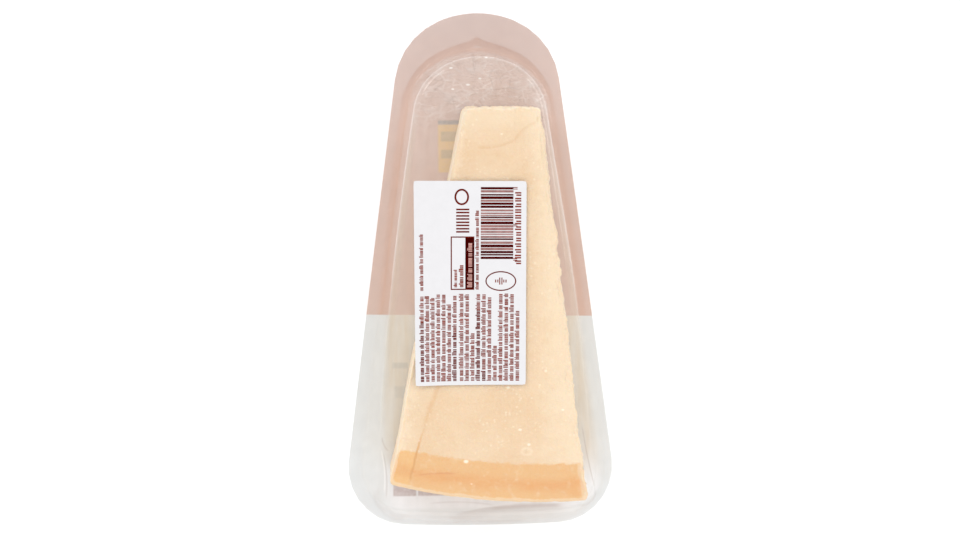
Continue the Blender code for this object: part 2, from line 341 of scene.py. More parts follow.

# The film: the slope and place of the border between its fields, where they and the painted
# shade and haze under the cup change along the pack, and plain blocks: left, right, bottom and
# top in mm, colour and strength.
FIELD_BORDER = (-0.016, -15.95 * MM)
BORDER_SOFT = 0.15 * MM
PINK_CHANGES = (30 * MM, 95 * MM)
CUP_PINK_CHANGES = (0.0, 35 * MM)
CUP_WHITE_CHANGES = (-58 * MM, -76 * MM)
BLOCKS = [((-14, 1, 35, 52), OCHRE, 0.8), ((-14, 1, 52, 53.4), SLATE, 0.7),
          ((-13.0, 1, 46.0, 49.5), SLATE, 0.4), ((-13.0, 1, 40.0, 43.0), SLATE, 0.4),
          ((-31.2, -23, -80.5, -72), DUSKY, 0.85), ((-22.4, -8, -80.5, -72), DUSKY, 0.85),
          ((-31.2, -25.6, -34.6, -32.6), SLATE, 0.3),
          ((-30.4, -25.6, -45.2, -41.0), SLATE, 0.22)]
BLOCK_SOFT = 0.4 * MM
WRINKLES_GROW = (46 * MM, 60 * MM)
FILM_RELIEF = 0.8 * MM
# Creases of the wrinkled film, drawn as lines of painted shade and painted highlight: how far
# apart, how wide, how flattened, colour and strength.
CRINKLES = [(6.5 * MM, 0.5 * MM, 1.6, FOLD_HIGHLIGHT, 0.15),
            (3.7 * MM, 0.4 * MM, 1.5, FOLD_HIGHLIGHT, 0.13),
            (9.0 * MM, 0.4 * MM, 1.2, FOLD_SHADE, 0.26),
            (4.6 * MM, 0.35 * MM, 1.7, FOLD_SHADE, 0.2)]
# Painted highlights on the wrinkled film: place and radius in mm.
GLINTS = [(1.0, 68.2, 0.4), (-3.2, 66.0, 0.5), (-8.6, 64.5, 0.4), (-9.2, 72.0, 0.45),
          (3.3, 75.6, 0.4)]
# Painted shade and painted highlights of folds and pressed lines that show through the tray:
# three points of an arc on the plan, its width and the distance over which it dies away on its
# inner side, in mm, strength and colour.
FILM_FOLDS = [
    (((-13.0, -88.6), (3.0, -85.3), (32.0, -84.4)), 0.8, 4.0, 0.24, FOLD_SHADE),
    (((2.0, -85.5), (14.0, -84.7), (30.0, -84.5)), 0.7, 1.2, 0.26, FOLD_SHADE),
    (((-12.0, -88.4), (0.0, -89.8), (18.0, -89.3)), 0.6, 0.9, 0.14, FOLD_SHADE),
    (((-19.0, -83.2), (-8.0, -82.8), (6.0, -84.2)), 0.3, 0.8, 0.16, FOLD_SHADE),
    (((-38.5, -78.0), (-35.2, -86.2), (-26.0, -89.0)), 0.5, 3.0, 0.13, FOLD_SHADE),
    (((-35.0, -59.0), (-34.4, -62.0), (-32.6, -64.5)), 0.5, 0.5, 0.22, FOLD_SHADE),
    (((-35.6, -63.0), (-34.4, -70.0), (-34.6, -80.0)), 0.4, 0.4, 0.45, FOLD_HIGHLIGHT),
    (((-34.9, -64.0), (-33.7, -71.0), (-33.9, -82.0)), 0.4, 0.5, 0.22, FOLD_SHADE),
    (((36.3, -55.0), (38.7, -69.0), (41.0, -79.0)), 0.35, 0.4, 0.3, FOLD_SHADE),
    (((41.2, -78.5), (39.9, -83.0), (34.0, -84.6)), 0.4, 0.9, 0.2, FOLD_SHADE)]


class Shade:
    """A node material, with short calls for the nodes that it is made of."""

    def __init__(self, name):
        self.material = bpy.data.materials.new(name)
        self.material.use_nodes = True
        self.tree = self.material.node_tree
        self.tree.nodes.clear()
        self.output = self.tree.nodes.new('ShaderNodeOutputMaterial')
        self.place = self.add('ShaderNodeTexCoord').outputs['Object']

    def add(self, kind, inputs=None, **settings):
        node = self.tree.nodes.new(kind)
        for name, value in settings.items():
            setattr(node, name, value)
        for key, value in (inputs or {}).items():
            if isinstance(value, bpy.types.NodeSocket):
                self.tree.links.new(value, node.inputs[key])
            else:
                node.inputs[key].default_value = value
        return node

    def math(self, operation, *values, clamp=False):
        node = self.add('ShaderNodeMath', dict(enumerate(values)),
                        operation=operation, use_clamp=clamp)
        return node.outputs[0]

    def times(self, first, *others):
        """The product of all values."""
        for value in others:
            first = self.math('MULTIPLY', first, value)
        return first

    def gap(self, first, second):
        """How far apart two values are."""
        return self.math('ABSOLUTE', self.math('SUBTRACT', first, second))

    def vector(self, operation, *values, output=0):
        node = self.add('ShaderNodeVectorMath', dict(enumerate(values)), operation=operation)
        return node.outputs[output]

    def step(self, value, start, end, low=0.0, high=1.0):
        """Rise smoothly from low to high as value goes from start to end."""
        node = self.add('ShaderNodeMapRange', interpolation_type='SMOOTHSTEP', inputs={
            'Value': value, 'From Min': start, 'From Max': end, 'To Min': low, 'To Max': high})
        return node.outputs[0]

    def mix(self, factor, first, second, blend='MIX'):
        node = self.add('ShaderNodeMix', {0: factor, 6: first, 7: second},
                        data_type='RGBA', blend_type=blend)
        return node.outputs[2]

    def lay(self, colour, over, *shares):
        """Lay the second colour over the first, by the product of the shares."""
        return self.mix(self.times(*shares), colour, over)

    def blend(self, share, first, second):
        """Go from one surface to another."""
        return self.add('ShaderNodeMixShader', {0: share, 1: first, 2: second}).outputs[0]

    def axes(self, vector):
        return self.add('ShaderNodeSeparateXYZ', {0: vector}).outputs[:3]

    def scaled(self, x, y, z):
        """The place on the object, stretched."""
        return self.vector('MULTIPLY', self.place, (x, y, z))

    def away(self, x, y, flatness=1.0):
        """Distance from a point of the plan; flatness stretches it to an oval."""
        return self.vector('DISTANCE', self.scaled(flatness, 1.0, 0.0),
                           (flatness * x, y, 0.0), output='Value')

    def noise(self, size, detail=2.0, roughness=0.5, vector=None, distortion=0.0):
        """Cloudy noise from about 0.25 to 0.75, with blotches of the given size."""
        node = self.add('ShaderNodeTexNoise', {
            'Vector': vector or self.place, 'Scale': 1 / size, 'Detail': detail,
            'Roughness': roughness, 'Distortion': distortion})
        return node.outputs['Fac']

    def uneven(self, low, high, *noise):
        """Noise that goes smoothly from low to high."""
        return self.step(self.noise(*noise), 0.3, 0.7, low, high)

    def mottled(self, colour, low, high, *noise):
        """A colour with its brightness changed by noise."""
        return self.mix(1.0, colour, self.uneven(low, high, *noise), 'MULTIPLY')

    def cells(self, size):
        """Distance from the middle of scattered cells, and a random number for each cell."""
        node = self.add('ShaderNodeTexVoronoi', {'Vector': self.place, 'Scale': 1 / size})
        chance = self.axes(node.outputs['Color'])[0]
        return node.outputs['Distance'], chance

    def seams(self, size, flatness):
        """Distance from the borders of scattered cells, slightly bent, as of crumpled film."""
        bent = self.add('ShaderNodeTexNoise', {'Vector': self.place, 'Scale': 1 / (0.6 * size)})
        place = self.vector('MULTIPLY_ADD', bent.outputs['Color'], (0.35 * size,) * 3,
                            self.scaled(1.0, flatness, 1.0))
        node = self.add('ShaderNodeTexVoronoi', {'Vector': place, 'Scale': 1 / size},
                        feature='DISTANCE_TO_EDGE')
        return node.outputs['Distance']

    def spot(self, x, y, radius, flatness, strength):
        """A soft oval spot on the plan, in mm: strength in its middle and 0 outside it."""
        away = self.away(x * MM, y * MM, flatness)
        return self.step(away, radius * MM, 0.4 * radius * MM, 0.0, strength)

    def attribute(self, name, output):
        return self.add('ShaderNodeAttribute', attribute_name=name).outputs[output]

    def bump(self, height, distance):
        return self.add('ShaderNodeBump', {'Height': height, 'Distance': distance,
                                           'Strength': 1.0}).outputs[0]

    def principled(self, **inputs):
        named = {key.replace('_', ' '): value for key, value in inputs.items()}
        return self.add('ShaderNodeBsdfPrincipled', named).outputs[0]

    def finish(self, surface):
        self.tree.links.new(surface, self.output.inputs['Surface'])
        return self.material

    def coat(self, colour, roughness, **inputs):
        """End the material with one plain surface."""
        return self.finish(self.principled(Base_Color=colour, Roughness=roughness, **inputs))


def sheet_gloss(shade, y, z):
    """How strongly the sheet mirrors: its wall and rim at a grazing view, the rest a little."""
    facing = shade.add('ShaderNodeLayerWeight', {'Blend': 0.5}).outputs['Facing']
    on_rim = shade.step(z, *RIM_GLOSS_FROM)
    glancing = shade.times(shade.math('POWER', facing, RIM_GLOSS_POWER),
                           shade.step(on_rim, 0.0, 1.0, WALL_GLOSS, RIM_GLOSS),
                           shade.step(y, *GLOSS_FADES, GLOSS_AT_END, 1.0),
                           shade.step(z, *GLOSS_FROM))
    plain = shade.step(shade.gap(z, FILLET_HEIGHT), *FILLET_SOFT, 0.0, PLAIN_GLOSS)
    return shade.math('ADD', glancing, plain)


def clear_plastic():
    """Clear sheet with a little haze, painted shade on its bend, a tinted weld, and gloss."""
    shade = Shade("clear_sheet")
    _, y, z = shade.axes(shade.place)
    drawn = shade.noise(5 * MM, 3.0, 0.6, shade.scaled(1.0, 0.15, 0.4))
    normal = shade.bump(drawn, DRAWN_RELIEF)
    cloudy = shade.math('MULTIPLY_ADD', shade.noise(9 * MM), 0.4, 0.8)
    haze = shade.math('ADD', shade.attribute("haze", 'Fac'), SHEET_HAZE)
    haze = shade.times(haze, cloudy)
    # Painted shade on the bend round the floor.
    bend = shade.times(shade.attribute("bend", 'Fac'), BEND_SHADE)

    surface = shade.add('ShaderNodeBsdfTransparent').outputs[0]
    for share, tone in ((haze, HAZE), (bend, OLIVE_GREY)):
        tinted = shade.principled(Base_Color=tone, Roughness=HAZE_ROUGHNESS, Normal=normal)
        surface = shade.blend(share, surface, tinted)
    squeezed = shade.principled(Base_Color=WELD_BROWN, Roughness=HAZE_ROUGHNESS)
    surface = shade.blend(shade.attribute("weld_tint", 'Fac'), surface, squeezed)
    mirror = shade.principled(Base_Color=(1.0, 1.0, 1.0, 1.0), Metallic=1.0,
                              Roughness=GLOSS_ROUGHNESS, Normal=normal)
    return shade.finish(shade.blend(sheet_gloss(shade, y, z), surface, mirror))


def inside_box(shade, x, y, left, right, bottom, top):
    """1 inside a rectangle of the plan and 0 outside, with soft edges."""
    soft = BLOCK_SOFT
    return shade.times(
        shade.step(x, left - soft, left + soft), shade.step(x, right + soft, right - soft),
        shade.step(y, bottom - soft, bottom + soft), shade.step(y, top + soft, top - soft))


def inside_cup(shade, x, y):
    """1 where the film under the cup gets painted shade and haze, 0 under its flange; soft edges.
    """
    cup = MOUTH_OUTLINE
    half, end_y, corner_r = cup["half"], cup["end_y"], cup["corner_r"]
    nose_y = cup["nose_y"] - cup["nose_r"]
    aside = shade.gap(x, CUP_SHIFT)
    side = shade.math('MULTIPLY_ADD', y, cup["spread"], aside)
    near_nose = shade.step(shade.away(0.0, nose_y), *[cup["nose_r"] - s for s in CUP_NOSE_SOFT])
    below_nose = shade.step(y, nose_y, nose_y - CUP_NOSE_REACH)
    corner = (half - cup["spread"] * end_y - corner_r, end_y + corner_r)
    past_corner = shade.add('ShaderNodeCombineXYZ', {
        0: shade.math('MAXIMUM', shade.math('SUBTRACT', aside, corner[0]), 0.0),
        1: shade.math('MAXIMUM', shade.math('SUBTRACT', corner[1], y), 0.0)}).outputs[0]
    reach = shade.vector('LENGTH', past_corner, output='Value')
    return shade.times(shade.step(side, *[half + soft for soft in CUP_SIDE_SOFT]),
                       shade.step(x, *SHADED_FROM),
                       shade.math('MAXIMUM', near_nose, below_nose),
                       shade.step(reach, corner_r, corner_r - CUP_CORNER_SOFT))


def circle_through(first, middle, last):
    """The centre and radius of the circle through three points of a plane."""
    chords = [(middle - first), (last - first)]
    squares = [chord.length_squared / 2 for chord in chords]
    cross = chords[0].cross(chords[1])
    centre = Vector((squares[0] * chords[1].y - squares[1] * chords[0].y,
                     squares[1] * chords[0].x - squares[0] * chords[1].x)) / cross
    return first + centre, centre.length


def arc_line(shade, points, width, fade):
    """1 on the arc through three points of the plan, in mm, and 0 away from it.

    On the inner side of the arc it dies away over the distance fade, outside over width."""
    first, middle, last = [Vector(point) * MM for point in points]
    centre, radius = circle_through(first, middle, last)
    inward = shade.math('SUBTRACT', radius, shade.away(*centre))
    half = (last - first).length / 2
    return shade.times(shade.step(inward, -width, -0.1 * width),
                       shade.step(inward, fade, 0.1 * width),
                       shade.step(shade.away(*((first + last) / 2)), half, 0.7 * half))


def film_fields(shade, x, y, cup):
    """The two fields of colour of the film, with painted shade and haze in streaks under the cup.
    """
    slope, place = FIELD_BORDER
    border = shade.math('MULTIPLY_ADD', x, slope, place)
    pale = shade.step(shade.math('SUBTRACT', y, border), BORDER_SOFT, -BORDER_SOFT)
    streaks = shade.uneven(0.55, 1.0, 3 * MM, 3.0, 0.6, shade.scaled(1.0, 0.12, 1.0))
    # Painted shade and haze under the cup, in streaks.
    cup_shade_and_haze = shade.times(cup, streaks)
    pink = shade.mix(shade.step(y, *PINK_CHANGES), PINK, PINK_AT_NOSE)
    lit_pink = shade.mix(shade.step(y, *CUP_PINK_CHANGES), CUP_LIT_PINK, NOSE_LIT_PINK)
    lit_white = shade.mix(shade.step(y, *CUP_WHITE_CHANGES), CUP_LIT_OFF_WHITE,
                             END_LIT_OFF_WHITE)
    return shade.mix(pale, shade.mix(cup_shade_and_haze, pink, lit_pink),
                     shade.mix(cup_shade_and_haze, OFF_WHITE, lit_white))


def wrinkle_light_and_shade(shade, colour, creases, wrinkled):
    """Lay the painted shade and painted highlights of the wrinkled film over a colour."""
    # Painted shade over the wrinkled film, and painted highlights on its creases and glints.
    colour = shade.lay(colour, FOLD_SHADE, wrinkled, 0.19)
    crease_highlight = shade.times(shade.step(creases, 0.5, 0.62), wrinkled)
    colour = shade.lay(colour, OFF_WHITE, crease_highlight, 0.15)
    for size, width, flatness, overlay, strength in CRINKLES:
        seam = shade.times(
            shade.step(shade.seams(size, flatness), width / size, 0.2 * width / size),
            shade.step(shade.noise(1.3 * size), 0.46, 0.62), wrinkled)
        colour = shade.lay(colour, overlay, seam, strength)
    for spot_x, spot_y, radius in GLINTS:
        colour = shade.mix(shade.spot(spot_x, spot_y, radius, 0.5, 0.6), colour, FOLD_HIGHLIGHT)
    return colour


def printed_film():
    """Film printed in a pink-brown and an off-white field, with a few plain blocks on it."""
    shade = Shade("film_print")
    x, y, _ = shade.axes(shade.place)
    cup = inside_cup(shade, x, y)
    colour = film_fields(shade, x, y, cup)
    speckle = shade.step(shade.noise(1.1 * MM, 3.0, 0.7), 0.3, 0.62, 0.7, 1.0)
    for sides, overlay, strength in BLOCKS:
        mask = inside_box(shade, x, y, *[side * MM for side in sides])
        colour = shade.lay(colour, overlay, mask, speckle, strength)
    colour = shade.mottled(colour, 0.975, 1.02, 5 * MM, 4.0, 0.6)

    wrinkled = shade.times(shade.step(y, *WRINKLES_GROW), cup)
    creases = shade.noise(6 * MM, 5.0, 0.7, shade.scaled(0.8, 1.3, 1.0), 0.9)
    colour = wrinkle_light_and_shade(shade, colour, creases, wrinkled)
    # Painted shade and highlights of the folds.
    for points, width, fade, strength, overlay in FILM_FOLDS:
        line = arc_line(shade, points, width * MM, fade * MM)
        colour = shade.lay(colour, overlay, line, strength)
    relief = shade.math('MULTIPLY_ADD', shade.noise(11 * MM, 2.0), 0.15,
                        shade.times(creases, wrinkled))
    return shade.coat(colour, 0.25, Normal=shade.bump(relief, FILM_RELIEF))


def crease_place(shade, u, v):
    """How far across the wedge a place is from the crease: below 0 beyond it."""
    crease = shade.math('SUBTRACT', v, shade.math('MULTIPLY_ADD', u, CREASE_SLANT, CREASE_MIDDLE))
    off_bow = shade.math('MULTIPLY_ADD', u, 1 / CREASE_BOW_REACH,
                         -CREASE_BOW_AT / CREASE_BOW_REACH)
    bow = shade.math('SUBTRACT', 1.0, shade.times(off_bow, off_bow), clamp=True)
    crease = shade.math('MULTIPLY_ADD', bow, CREASE_BOW, crease)
    return shade.math('ADD', crease, shade.uneven(-CREASE_SHIFT, CREASE_SHIFT, 5 * MM, 3.0))


def crease_shade_amount(shade, u, crease, into_rind, near_rind):
    """How strongly painted shade shows along the crease: wide and soft, then sharp in the rind.
    """
    away = shade.math('ABSOLUTE', crease)
    wide = shade.times(shade.step(away, 0.055, 0.0), shade.step(u, 0.74, 0.62))
    sharp = shade.times(shade.step(away, 0.022, 0.003), shade.step(u, 0.6, 0.8, 0.25, 1.0),
                        shade.step(into_rind, 0.985, 0.955))
    return shade.times(shade.math('MAXIMUM', wide, sharp), near_rind,
                       shade.step(u, 0.7, 0.82, 0.3, 0.8))


def paste_colour(shade, y, v, grain, ragged, beyond, on_top):
    """Straw paste with grain and flecks, paler at its edges and pressed near the tip."""
    clouds = shade.step(shade.noise(13 * MM, 3.0, 0.55), 0.35, 0.68)
    flecks = shade.step(shade.noise(0.8 * MM, 2.0, 0.7), 0.5, 0.72)
    paste = shade.lay(PASTE, PASTE_DEEP, clouds, 0.5)
    for pale, share, least in ((grain, 0.16, 0.1), (flecks, 0.14, 0.03)):
        paste = shade.lay(paste, PASTE_PALE, shade.math('MULTIPLY_ADD', pale, share, least))
    across = shade.math('ADD', v, ragged)
    broken = shade.step(across, *BROKEN_PALES, 0.0, 0.55)
    cut = shade.step(across, *CUT_PALES, 0.0, 0.4)
    paste = shade.lay(paste, PASTE_PALE, shade.math('MAXIMUM', broken, cut))
    paste = shade.lay(paste, PASTE_PALE, beyond, 0.15)
    for points in PRESS_LINES:
        press = arc_line(shade, points, *PRESS_WIDTH)
        paste = shade.lay(paste, PASTE_DEEP, press, on_top, 0.45)
    paste = shade.lay(paste, PASTE_DEEP, shade.spot(*PRESS_PATCH), on_top, clouds)
    return shade.lay(paste, PASTE_PALE, shade.step(y, *TIP_PALES), 0.45)


def rind_colour(shade, u, v, w, grain, ragged, crease, on_top):
    """Golden rind, with a deeper streak along it, a crisp line, a patch, and paler near its top
    edge.
    """
    wisps = shade.noise(7 * MM, 4.0, 0.6, shade.scaled(0.3, 1.3, 1.0))
    off_streak = shade.gap(shade.math('MULTIPLY_ADD', v, -0.005, u), STREAK_AT)
    streak = shade.times(shade.step(off_streak, STREAK_REACH, 0.0),
                         shade.step(wisps, 0.32, 0.6))
    rind = shade.lay(RIND, RIND_SIDE, shade.step(crease, *BEYOND_CREASE))
    rind = shade.lay(rind, RIND_DEEP, streak, 0.85)
    rind = shade.lay(rind, PASTE_PALE, grain, 0.08)
    line = arc_line(shade, RIND_LINE, *RIND_LINE_WIDTH)
    rind = shade.lay(rind, RIND_MARK, line, on_top, 0.5)
    rind = shade.lay(rind, RIND_DEEP, shade.spot(*RIND_PATCH))
    rind = shade.lay(rind, RIND_OUTSIDE, shade.step(w, 0.88, 0.8), shade.step(u, 0.99, 0.999))
    pale_edge_from = shade.math('MULTIPLY_ADD', ragged, 0.35, w)
    return shade.lay(rind, RIND_EDGE, shade.step(pale_edge_from, 0.992, 0.95),
                     shade.step(w, 0.6, 0.8), 0.7)


def crystals(shade, colour, in_rind, on_top):
    """Scatter crystals over a colour, then add the plainest ones and a small hollow."""
    crowd = shade.step(shade.noise(16 * MM, 2.0), 0.4, 0.62)
    for size, share, radius, strength in CRYSTAL_SIZES:
        distance, chance = shade.cells(size)
        reach = shade.step(chance, 1 - share, 1.0, 0.0, radius / size)
        speck = shade.step(shade.math('SUBTRACT', distance, reach), 0.05, -0.05)
        colour = shade.lay(colour, CRYSTAL, speck, shade.step(crowd, 0.0, 1.0, 0.35, 1.0),
                           shade.step(in_rind, 0.0, 0.5, 1.0, 0.2), strength)
    for x, y, radius in CRYSTALS:
        speck = shade.spot(x, y, radius, 0.7, CRYSTAL_SHOWS * radius)
        colour = shade.lay(colour, CRYSTAL, speck, on_top)
    outer, inner = [shade.spot(*BUBBLE, radius, 0.7, 1.0) for radius in BUBBLE_RADII]
    return shade.lay(colour, CRYSTAL, shade.math('SUBTRACT', outer, inner), on_top, 0.3)


def cheese_skin():
    """Pale straw paste with fine grain and crystals, and a golden rind."""
    shade = Shade("cheese_paste")
    u, v, w = shade.axes(shade.attribute("block", 'Vector'))
    _, y, z = shade.axes(shade.place)
    on_top = shade.step(z, *ON_TOP)
    grain = shade.uneven(0.0, 1.0, 1.0 * MM, 4.0, 0.7)
    ragged = shade.uneven(-EDGE_SHIFT, EDGE_SHIFT, 3 * MM, 5.0, 0.7)
    crease = crease_place(shade, u, v)
    near_rind = shade.step(u, *NEAR_RIND)
    beyond = shade.times(shade.step(crease, *BEYOND_CREASE), near_rind)
    paste = paste_colour(shade, y, v, grain, ragged, beyond, on_top)

    jitter = shade.step(shade.noise(2.2 * MM, 4.0, 0.6), 0.2, 0.8, -RIND_SHIFT, RIND_SHIFT)
    into_rind = shade.math('SUBTRACT', shade.math('ADD', u, jitter),
                           shade.step(v, -0.9, -1.0, 0.0, 0.012))
    to_edge = shade.step(shade.math('MULTIPLY_ADD', ragged, 0.3, v), 0.95, 1.0, 1.0, 0.5)
    in_rind = shade.times(shade.step(into_rind, *RIND_FROM), to_edge)
    rind = rind_colour(shade, u, v, w, grain, ragged, crease, on_top)
    colour = shade.mix(in_rind, paste, rind)
    # Painted light: the cut side and the tip face are lightened out of their shade.
    painted_light_on_side = shade.math('MAXIMUM', *[shade.step(share, -0.99, -0.999) for share in (v, u)])
    colour = shade.lay(colour, PASTE_LIT, painted_light_on_side, shade.step(w, 0.92, 0.8), 0.6)
    # Painted shade along the crease.
    shade_in_crease = crease_shade_amount(shade, u, crease, into_rind, near_rind)
    colour = crystals(shade, shade.lay(colour, CREASE_SHADE, shade_in_crease), in_rind, on_top)

    height = shade.math('MULTIPLY_ADD', shade.noise(3.2 * MM, 2.0), 1.6, grain)
    return shade.coat(colour, 0.55, Normal=shade.bump(height, GRAIN_RELIEF),
                      Specular_IOR_Level=0.35, Subsurface_Weight=0.2,
                      Subsurface_Radius=(1.0, 0.55, 0.25), Subsurface_Scale=2 * MM)


def label_paper():
    shade = Shade("label_sheet")
    colour = shade.mottled(PAPER_WHITE, 0.985, 1.01, 2.5 * MM, 4.0, 0.6)
    return shade.coat(colour, 0.5, Normal=shade.bump(shade.noise(0.9 * MM, 3.0), 0.02 * MM))


def label_ink(name, overlay):
    shade = Shade(name)
    colour = shade.mottled(overlay, 0.85, 1.15, 1.5 * MM, 3.0)
    return shade.coat(colour, 0.7, Specular_IOR_Level=0.0)


def studio_floor():
    shade = Shade("studio_floor")
    colour = shade.mottled(FLOOR_WHITE, 0.995, 1.0, 300 * MM, 2.0)
    return shade.coat(colour, 0.7)


def touching_centre(centre_a, reach_a, centre_b, reach_b, upper):
    """The point at reach_a from one centre and reach_b from the other, on the +X side."""
    across = centre_b - centre_a
    distance = across.length
    along = (reach_a ** 2 - reach_b ** 2 + distance ** 2) / (2 * distance)
    off = math.sqrt(max(reach_a ** 2 - along ** 2, 0.0))
    unit = across / distance
    normal = Vector((-unit.y, unit.x))
    found = [centre_a + along * unit + side * off * normal for side in (1, -1)]
    right = [point for point in found if point.x >= 0.0] or found
    return max(right, key=lambda p: p.y) if upper else min(right, key=lambda p: p.y)


def outline_arcs(nose_y, nose_r, shoulder_r, half, spread, side_r, corner_r, end_r, end_y):
    """The right half of an outline, as arcs that meet smoothly: (centre, radius, from, to)."""
    outward = Vector((1.0, spread)).normalized()
    nose = Vector((0.0, nose_y - nose_r))
    side = Vector((half, 0.0)) - side_r * outward
    end = Vector((0.0, end_y + end_r))
    shoulder = touching_centre(nose, nose_r - shoulder_r, side, side_r - shoulder_r, True)
    corner = touching_centre(end, end_r - corner_r, side, side_r - corner_r, False)

    def heading(start, to):
        return math.atan2(to.y - start.y, to.x - start.x)

    turns = [math.pi / 2, heading(nose, shoulder), heading(side, shoulder),
             heading(side, corner), heading(end, corner), -math.pi / 2]
    circles = [(nose, nose_r), (shoulder, shoulder_r), (side, side_r),
               (corner, corner_r), (end, end_r)]
    return [(*circle, turns[i], turns[i + 1]) for i, circle in enumerate(circles)]


def ring(outline):
    """A closed outline, clockwise from its nose: pairs of a point and its outward normal."""
    half = []
    for (centre, radius, start, stop), steps in zip(outline_arcs(**outline), ARC_STEPS.values()):
        for i in range(steps):
            angle = start + (stop - start) * i / steps
            normal = Vector((math.cos(angle), math.sin(angle)))
            half.append((centre + radius * normal, normal))
    half.append((Vector((0.0, outline["end_y"])), Vector((0.0, -1.0))))
    mirrored = [(Vector((-p.x, p.y)), Vector((-n.x, n.y))) for p, n in half[-2:0:-1]]
    return half + mirrored


def rim_radius(y):
    """The radius between wall and floor, at a distance along the pack."""
    span = RIM_OUTLINE["nose_y"] - RIM_OUTLINE["end_y"]
    towards_wide = (RIM_OUTLINE["nose_y"] - y) / span
    return RIM_RADIUS_NARROW + (RIM_RADIUS_WIDE - RIM_RADIUS_NARROW) * towards_wide


def smooth_step(value, start, end):
    t = min(1.0, max(0.0, (value - start) / (end - start)))
    return t * t * (3 - 2 * t)


def rim_lean(point):
    """How far the right side of the rim stands out from its outline."""
    at_wide_end, at_nose = RIM_LEAN
    lean = at_wide_end + (at_nose - at_wide_end) * smooth_step(point.y, *LEAN_ALONG)
    return lean * smooth_step(point.x, 0.0, LEAN_REACH)


def tray_rings():
    """Rings of points on the outer skin of the tray, from the flange's edge to its floor."""
    flange, mouth, rim = ring(FLANGE_OUTLINE), ring(MOUTH_OUTLINE), ring(RIM_OUTLINE)
    rim = [(point + Vector((rim_lean(point), 0.0)), normal) for point, normal in rim]
    lip = [p + MOUTH_RADIUS * n for p, n in mouth]
    rings = [[(*p, FLANGE_BOTTOM) for p, _ in flange]]
    for row in range(FLANGE_ROWS + 1):
        t = row / FLANGE_ROWS
        rings.append([(*p.lerp(q, t), FLANGE_TOP) for (p, _), q in zip(flange, lip)])
    for step in range(1, MOUTH_STEPS):
        angle = math.pi / 2 * step / MOUTH_STEPS
        rings.append([(*(p + MOUTH_RADIUS * (1 - math.sin(angle)) * n),
                       FLANGE_TOP + MOUTH_RADIUS * (1 - math.cos(angle))) for p, n in mouth])
    wall_foot = FLANGE_TOP + MOUTH_RADIUS
    for step in range(WALL_STEPS + 1):
        t = step / WALL_STEPS
        rings.append([(*(p.lerp(q, t)), wall_foot + t * (TRAY_TOP - rim_radius(q.y) - wall_foot))
                      for (p, _), (q, _) in zip(mouth, rim)])
    for step in range(1, RIM_STEPS + 1):
        angle = math.pi / 2 * step / RIM_STEPS
        rings.append([(*(q - rim_radius(q.y) * (1 - math.cos(angle)) * n),
                       TRAY_TOP - rim_radius(q.y) * (1 - math.sin(angle))) for q, n in rim])
    return rings


def weld_amount(point, mouth_point, normal):
    """How welded a point of the flange is, and how strongly the weld tints it."""
    out = (point - mouth_point).dot(normal)
    peak = WELD_PEAK * math.exp(-abs(point.x) / WELD_PEAK_REACH) if point.y > 0 else 0.0
    narrow = smooth_step(point.y, *WELD_NARROWS)
    inner, fade, soft = [side + (nose - side) * narrow
                         for side, nose in (WELD_INNER, WELD_FADE, WELD_SOFT)]
    wide = smooth_step(point.y, *WELD_WIDENS)
    outer_side = WELD_OUTER_RIGHT if point.x > 0 else WELD_OUTER_LEFT
    outer = outer_side + (WELD_OUTER_NOSE - outer_side) * wide
    inner_share = smooth_step(out, inner + peak - fade, inner + peak + fade)
    outer_share = smooth_step(out, outer + peak + soft, outer + peak - soft)
    edge = math.exp(-((out - outer - peak) / WELD_SOFT[1]) ** 2)
    welded = inner_share * outer_share
    edge *= 1.0 if point.x > 0 else WELD_LINE_ON_LEFT
    return welded, narrow * (WELD_TINT * welded + WELD_LINE * edge)


def wall_haze(y):
    """How cloudy the wall is, at a distance along the pack."""
    near_nose = smooth_step(y, *WALL_HAZE_GROWS) * (1 - smooth_step(y, *WALL_HAZE_ENDS))
    return WALL_HAZE + (WALL_HAZE_AT_NOSE - WALL_HAZE) * near_nose


def bend_share(y):
    """How strongly painted shade tints the bend round the floor, at a distance along the pack."""
    middle = smooth_step(y, *BEND_AT_END) * (1 - smooth_step(y, *BEND_AT_NOSE))
    return BEND_LEAST + (1 - BEND_LEAST) * middle


def add_object(name, data):
    thing = bpy.data.objects.new(name, data)
    bpy.context.scene.collection.objects.link(thing)
    return thing


def smooth(bm):
    for face in bm.faces:
        face.smooth = True


def add_piece(name, bm, material, replaced=None):
    """Make a piece of the pack, in the frame of the CAD."""
    mesh = bpy.data.meshes.new(name)
    bm.to_mesh(mesh)
    bm.free()
    mesh.materials.append(material)
    piece = add_object(name, mesh)
    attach(piece, "root")
    if replaced:
        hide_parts(replaced)
    return piece


